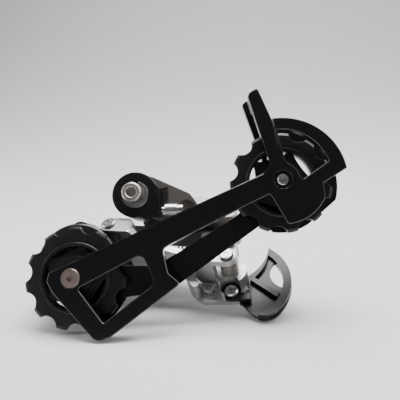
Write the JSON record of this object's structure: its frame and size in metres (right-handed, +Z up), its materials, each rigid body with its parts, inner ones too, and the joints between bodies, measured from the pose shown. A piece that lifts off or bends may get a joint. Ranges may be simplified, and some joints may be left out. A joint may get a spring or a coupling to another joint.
{
  "type": "rear bicycle derailleur",
  "caption": "Slant-parallelogram rear derailleur with a long sprung cage, toothed guide and tension pulleys, a cable fan and a bolt that mounts on the bicycle's hanger",
  "frame": {"origin": "on the hanger bolt's axis, in the shoulder plane that meets the bicycle's hanger", "axes": "+X runs from the guide pulley towards the tension pulley, level; +Z is up as it stands; the hanger bolt points along -Y and up, leaning back by the stated angle"},
  "size_m": [0.1507, 0.0809, 0.1115],
  "materials": {
    "black_plate": "satin black coating with bright worn edges",
    "grey_alloy": "satin warm grey",
    "dark_alloy": "satin charcoal",
    "silver_alloy": "satin, finely brushed",
    "steel": "bright zinc",
    "fan_plastic": "satin black",
    "pulley_plastic": "charcoal nylon",
    "bush": "sintered bronze, dull",
    "button": "light grey"
  },
  "bodies": {
    "hanger": {"hanger_bolt": "steel", "bolt_clip": "steel", "tension_plate": "black_plate"},
    "upper_knuckle": {"hanger_knuckle": "grey_alloy", "hanger_bushes": "bush", "adjust_barrel": "silver_alloy", "inner_hanger_pin": "steel", "outer_hanger_pin": "steel", "hanger_pin_clips": "steel"},
    "hang_screw": {"adjust_screw": "steel"},
    "high_screw": {"high_limit_screw": "steel"},
    "low_screw": {"low_limit_screw": "steel"},
    "long_link": {"outer_link": "dark_alloy", "outer_link_bushes": "bush"},
    "fan_link": {"inner_link": "silver_alloy", "inner_link_bushes": "bush", "cable_fan": "fan_plastic", "fan_screw": "steel", "anchor_bolt": "steel", "anchor_washer": "steel"},
    "spring": {"return_spring": "steel"},
    "lower_knuckle": {"spring_knuckle": "dark_alloy", "spindle_bushes": "bush", "cage_spring": "steel", "inner_knuckle_pin": "steel", "outer_knuckle_pin": "steel", "knuckle_pin_clips": "steel", "clutch_band": "steel", "clutch_rollers": "steel", "clutch_cover": "dark_alloy", "cover_screws": "steel"},
    "lock": {"lock_button": "button"},
    "cage": {"cage_spindle": "steel", "clutch_hub": "steel", "stop_pin": "steel", "outer_plate": "black_plate", "inner_plate": "black_plate", "guide_bolt": "steel", "tension_bolt": "steel", "guide_inner_race": "steel", "tension_inner_race": "steel", "guide_dust_caps": "steel", "tension_dust_caps": "steel"},
    "guide_wheel": {"guide_pulley": "pulley_plastic", "guide_outer_race": "steel", "guide_balls": "steel"},
    "tension_wheel": {"tension_pulley": "pulley_plastic", "tension_outer_race": "steel", "tension_balls": "steel"}
  },
  "joints": [
    {"name": "hanger_swing", "type": "hinge", "parent": "hanger", "child": "upper_knuckle", "pos_m": [0, 0, 0], "axis": [0, -0.9483, 0.3173], "range_deg": [0, 20]},
    {"name": "link_swing", "type": "hinge", "parent": "upper_knuckle", "child": "fan_link", "pos_m": [0.04871, -0.00754, -0.03576], "axis": [-0.1701, -0.4958, 0.8516], "range_deg": [0, 56], "stiffness_Nm_per_rad": 0.5, "springref_deg": -34.38},
    {"name": "outer_link_swing", "type": "hinge", "parent": "upper_knuckle", "child": "long_link", "pos_m": [0.04871, 0.00456, -0.02871], "axis": [-0.1701, -0.4958, 0.8516], "range_deg": [0, 56]},
    {"name": "spring_swing", "type": "hinge", "parent": "upper_knuckle", "child": "spring", "pos_m": [0.04871, 0.00456, -0.02871], "axis": [-0.1701, -0.4958, 0.8516], "range_deg": [0, 51.9]},
    {"name": "knuckle_swing", "type": "hinge", "parent": "long_link", "child": "lower_knuckle", "pos_m": [-0.00883, 0.02149, -0.03035], "axis": [-0.1701, -0.4958, 0.8516], "range_deg": [-56, 0]},
    {"name": "cage_swing", "type": "hinge", "parent": "lower_knuckle", "child": "cage", "pos_m": [-0.027, -0.01126, -0.03367], "axis": [0, -0.9483, 0.3173], "range_deg": [-110, 0], "stiffness_Nm_per_rad": 0.1, "springref_deg": 143.24},
    {"name": "guide_spin", "type": "hinge", "parent": "cage", "child": "guide_wheel", "pos_m": [-0.024, -0.0266, -0.03539], "axis": [0, -0.9483, 0.3173], "continuous": true},
    {"name": "tension_spin", "type": "hinge", "parent": "cage", "child": "tension_wheel", "pos_m": [0.07348, -0.01238, 0.00713], "axis": [0, -0.9483, 0.3173], "continuous": true},
    {"name": "lock_slide", "type": "slide", "parent": "lower_knuckle", "child": "lock", "axis": [0, -0.9483, 0.3173], "range_m": [0, 0.002], "stiffness_N_per_m": 200},
    {"name": "hang_screw_turn", "type": "hinge", "parent": "upper_knuckle", "child": "hang_screw", "pos_m": [0.02, 0.00002, -0.00813], "axis": [1, 0, 0], "continuous": true},
    {"name": "high_screw_turn", "type": "hinge", "parent": "upper_knuckle", "child": "high_screw", "pos_m": [0.02746, 0.02794, -0.01817], "axis": [0, -0.8642, -0.5031], "continuous": true},
    {"name": "low_screw_turn", "type": "hinge", "parent": "upper_knuckle", "child": "low_screw", "pos_m": [0.03436, 0.02734, -0.01715], "axis": [0, -0.8642, -0.5031], "continuous": true}
  ],
  "couplings": [
    {"joint": "outer_link_swing", "follows": "link_swing", "ratio": 1},
    {"joint": "knuckle_swing", "follows": "link_swing", "ratio": -1},
    {"joint": "spring_swing", "follows": "link_swing", "ratio": 0.9094}
  ]
}
